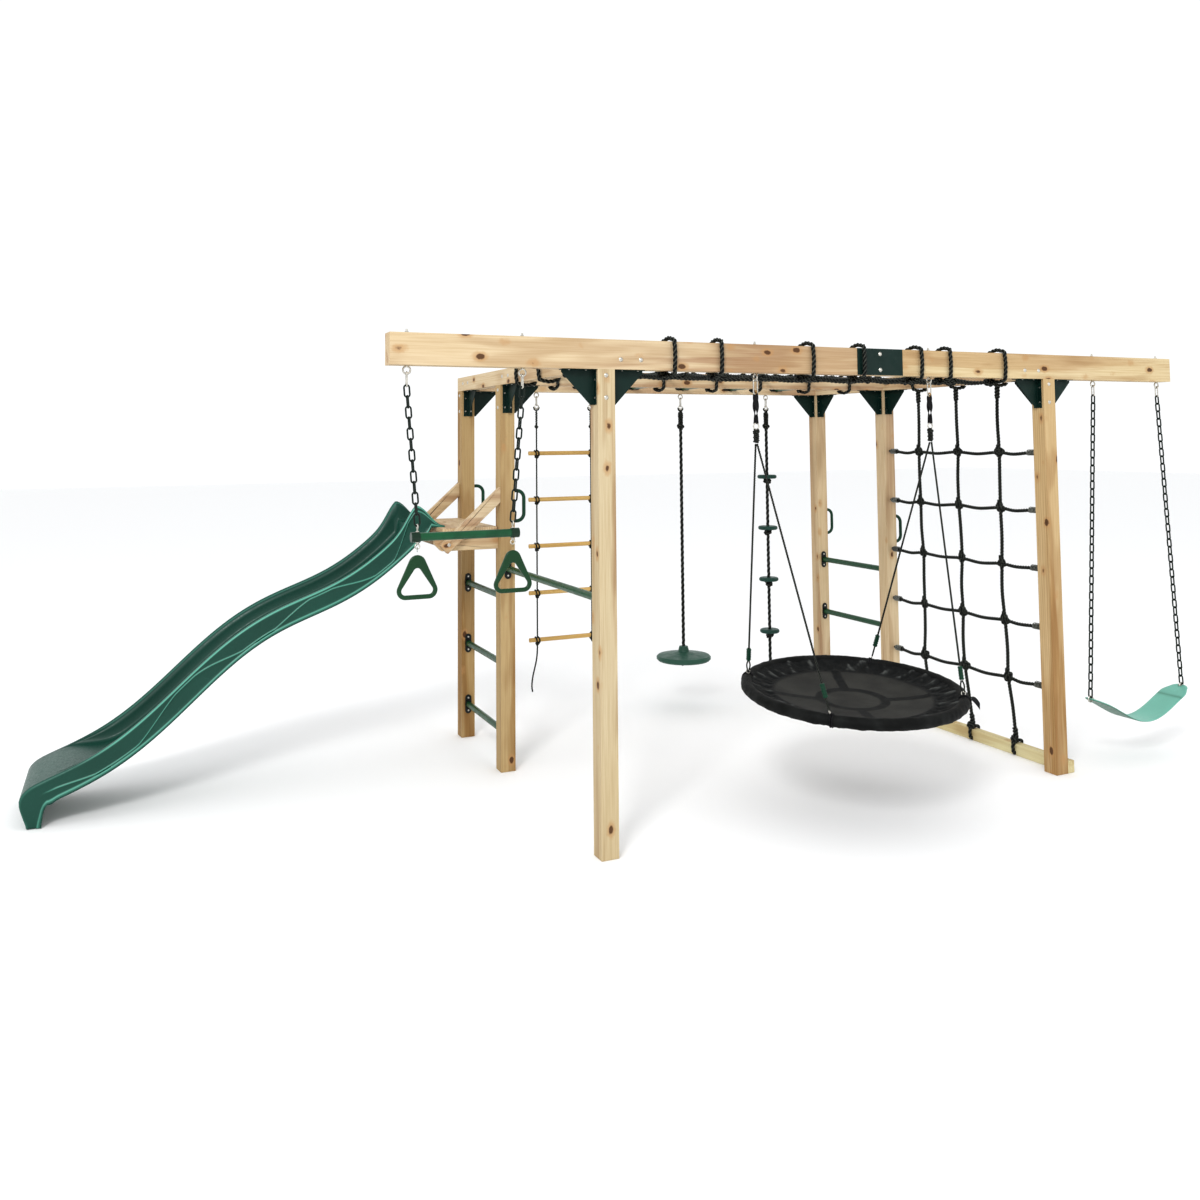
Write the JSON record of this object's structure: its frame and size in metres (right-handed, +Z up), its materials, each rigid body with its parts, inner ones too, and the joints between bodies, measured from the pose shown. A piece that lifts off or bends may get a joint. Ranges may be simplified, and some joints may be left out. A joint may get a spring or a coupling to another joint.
{
  "type": "monkey bars",
  "caption": "Timber climbing frame with overhead bars, roof and side nets, a deck with a wavy slide, and a trapeze, nest, belt and disc swings, rope ladder and climbing rope.",
  "frame": {"origin": "on the ground, at the centre of the whole set's footprint", "axes": "+X along the front beam towards the belt swing, +Y from the front beam to the monkey bars, +Z up"},
  "size_m": [5.4646, 2.5248, 2.049],
  "materials": {
    "timber": "sawn pale softwood with knots",
    "bracket_steel": "dark green powder coat",
    "zinc_hardware": "zinc plated",
    "green_bar": "green powder coat",
    "black_plate": "black powder coat",
    "grip_plastic": "moulded, dark green",
    "slide_plastic": "blow moulded, fine grained",
    "black_rope": "braided polypropylene rope",
    "coated_chain": "plastisol coated, dark green",
    "ring_plastic": "moulded, green",
    "black_webbing": "woven webbing",
    "hoop_steel": "powder coated tube",
    "sleeve_fabric": "padded woven polyester",
    "mat_fabric": "woven mesh",
    "belt_plastic": "flexible moulded plastic",
    "dowel": "turned and varnished",
    "disc_plastic": "moulded, dark green"
  },
  "bodies": {
    "frame": {"post_front_left": "timber", "post_front_right": "timber", "post_mid_left": "timber", "post_mid_right": "timber", "post_back_left": "timber", "post_back_right": "timber", "front_beam_left": "timber", "front_beam_right": "timber", "side_beam_left": "timber", "side_beam_right": "timber", "mid_beam": "timber", "back_beam": "timber", "ground_rail": "timber", "gussets": "bracket_steel", "wood_screws": "zinc_hardware", "carriage_bolts": "zinc_hardware", "splice_plates": "bracket_steel", "eye_bolts": "zinc_hardware", "monkey_bars": "green_bar", "ladder_rungs": "green_bar", "turning_bar": "green_bar", "bar_flanges": "black_plate", "hand_grips": "grip_plastic", "deck_joists": "timber", "deck_boards": "timber", "deck_struts": "timber", "slide": "slide_plastic", "roof_net_columns": "black_rope", "roof_net_rows": "black_rope", "side_net_columns": "black_rope", "side_net_rows": "black_rope", "net_loops": "black_rope", "net_hooks": "zinc_hardware"},
    "trapeze": {"trapeze_links": "zinc_hardware", "trapeze_chains": "coated_chain", "trapeze_bar": "green_bar", "trapeze_eyes": "zinc_hardware"},
    "trapeze_left_ring": {"trapeze_ring_left": "ring_plastic"},
    "trapeze_right_ring": {"trapeze_ring_right": "ring_plastic"},
    "nest_swing": {"nest_carabiners": "zinc_hardware", "nest_slings": "black_webbing", "nest_ropes": "black_rope", "nest_adjusters": "grip_plastic", "nest_hoop": "hoop_steel", "nest_sleeve": "sleeve_fabric", "nest_mat": "mat_fabric"},
    "belt_swing": {"belt_links": "zinc_hardware", "belt_chains": "coated_chain", "belt_rings": "zinc_hardware", "belt_seat": "belt_plastic"},
    "rope_ladder": {"rope_ladder_links": "zinc_hardware", "rope_ladder_rope_left": "black_rope", "rope_ladder_rope_right": "black_rope", "rope_ladder_rungs": "dowel"},
    "disc_hanger": {"disc_link": "zinc_hardware"},
    "disc_swing": {"disc_rope": "black_rope", "disc_seat": "disc_plastic"},
    "climb_hanger": {"climb_link": "zinc_hardware"},
    "climbing_rope": {"climb_rope": "black_rope", "climb_discs": "disc_plastic"}
  },
  "joints": [
    {"name": "trapeze_swing", "type": "hinge", "parent": "frame", "child": "trapeze", "pos_m": [-1.16226, -0.77457, 1.878], "axis": [1, 0, 0], "range_deg": [-45, 45]},
    {"name": "left_ring_swing", "type": "hinge", "parent": "trapeze", "child": "trapeze_left_ring", "pos_m": [-1.34826, -0.77457, 1.232], "axis": [1, 0, 0], "range_deg": [-40, 40]},
    {"name": "right_ring_swing", "type": "hinge", "parent": "trapeze", "child": "trapeze_right_ring", "pos_m": [-0.97626, -0.77457, 1.232], "axis": [1, 0, 0], "range_deg": [-40, 40]},
    {"name": "nest_swing_hinge", "type": "hinge", "parent": "frame", "child": "nest_swing", "pos_m": [0.60774, -0.77457, 1.892], "axis": [1, 0, 0], "range_deg": [-40, 40]},
    {"name": "belt_swing_hinge", "type": "hinge", "parent": "frame", "child": "belt_swing", "pos_m": [2.38474, -0.77457, 1.878], "axis": [1, 0, 0], "range_deg": [-45, 45]},
    {"name": "rope_ladder_swing", "type": "hinge", "parent": "frame", "child": "rope_ladder", "pos_m": [0.00374, 1.09743, 1.878], "axis": [1, 0, 0], "range_deg": [-20, 20]},
    {"name": "disc_swing_hinge", "type": "hinge", "parent": "frame", "child": "disc_hanger", "pos_m": [0.78474, 1.09743, 1.878], "axis": [1, 0, 0], "range_deg": [-20, 20]},
    {"name": "disc_sway", "type": "hinge", "parent": "disc_hanger", "child": "disc_swing", "pos_m": [0.78474, 1.09743, 1.8311], "axis": [0, 1, 0], "range_deg": [-6, 6]},
    {"name": "climbing_rope_hinge", "type": "hinge", "parent": "frame", "child": "climb_hanger", "pos_m": [1.40874, 1.09743, 1.878], "axis": [1, 0, 0], "range_deg": [-15, 15]},
    {"name": "climbing_rope_sway", "type": "hinge", "parent": "climb_hanger", "child": "climbing_rope", "pos_m": [1.40874, 1.09743, 1.8311], "axis": [0, 1, 0], "range_deg": [-6, 6]}
  ]
}
